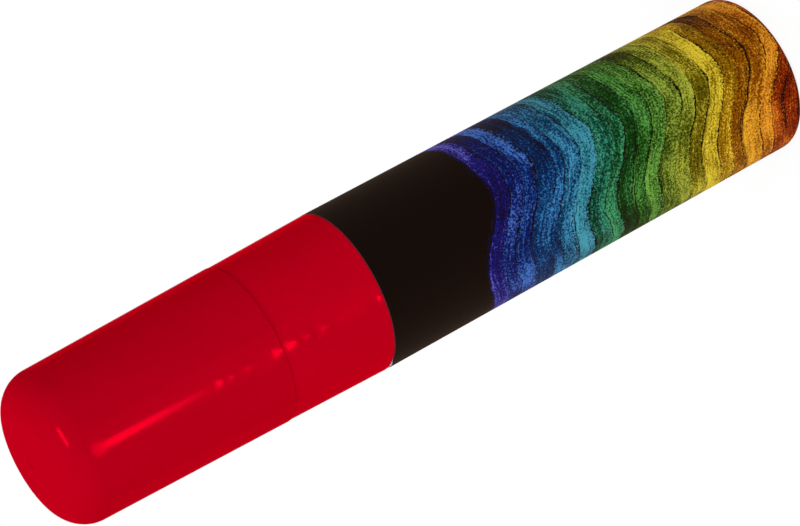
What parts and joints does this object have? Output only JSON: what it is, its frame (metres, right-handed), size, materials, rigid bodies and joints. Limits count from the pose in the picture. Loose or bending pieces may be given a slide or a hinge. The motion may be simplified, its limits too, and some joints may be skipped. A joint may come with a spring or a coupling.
{
  "type": "liquid chalk marker",
  "caption": "Capped jumbo liquid chalk marker: a sleeved barrel with a red collar and a domed push-on cap, over a wide felt nib that opens a spring valve when pressed.",
  "frame": {"origin": "centre of the tail's flat rest face", "axes": "+Z along the marker's axis from the tail to the cap's crown, +X along the nib's wide side"},
  "size_m": [0.028, 0.028, 0.144],
  "materials": {
    "barrel_plastic": "pale grey moulded polypropylene",
    "sleeve_film": "black printed shrink film with chalky colour strokes",
    "red_plastic": "glossy moulded red plastic",
    "holder_plastic": "white moulded plastic",
    "liner_plastic": "natural white polyethylene",
    "valve_plastic": "natural white acetal",
    "nib_felt": "pressed off-white fibre",
    "seal_rubber": "soft black rubber",
    "spring_steel": "drawn wire",
    "ball_steel": "polished steel"
  },
  "bodies": {
    "barrel": {"barrel": "barrel_plastic", "label_sleeve": "sleeve_film", "tail_plug": "barrel_plastic", "grip_collar": "red_plastic", "seal_ring": "seal_rubber", "nib_holder": "holder_plastic", "valve_seat": "valve_plastic", "valve_case": "valve_plastic", "valve_spring": "spring_steel"},
    "cap": {"cap_shell": "red_plastic", "inner_cap": "liner_plastic"},
    "nib": {"nib": "nib_felt", "valve_rod": "valve_plastic", "valve_washer": "seal_rubber"},
    "ball_left": {"mixing_ball_left": "ball_steel"},
    "ball_right": {"mixing_ball_right": "ball_steel"}
  },
  "joints": [
    {"name": "cap_pull", "type": "slide", "parent": "barrel", "child": "cap", "axis": [0, 0, 1], "range_m": [0, 0.045]},
    {"name": "nib_press", "type": "slide", "parent": "barrel", "child": "nib", "axis": [0, 0, -1], "range_m": [0, 0.0025], "stiffness_N_per_m": 800, "springref_m": -0.002, "deforming": ["valve_spring"]},
    {"name": "ball_left_rattle", "type": "slide", "parent": "barrel", "child": "ball_left", "axis": [0, 0, 1], "range_m": [0, 0.058]},
    {"name": "ball_right_rattle", "type": "slide", "parent": "barrel", "child": "ball_right", "axis": [0, 0, 1], "range_m": [0, 0.058]}
  ]
}
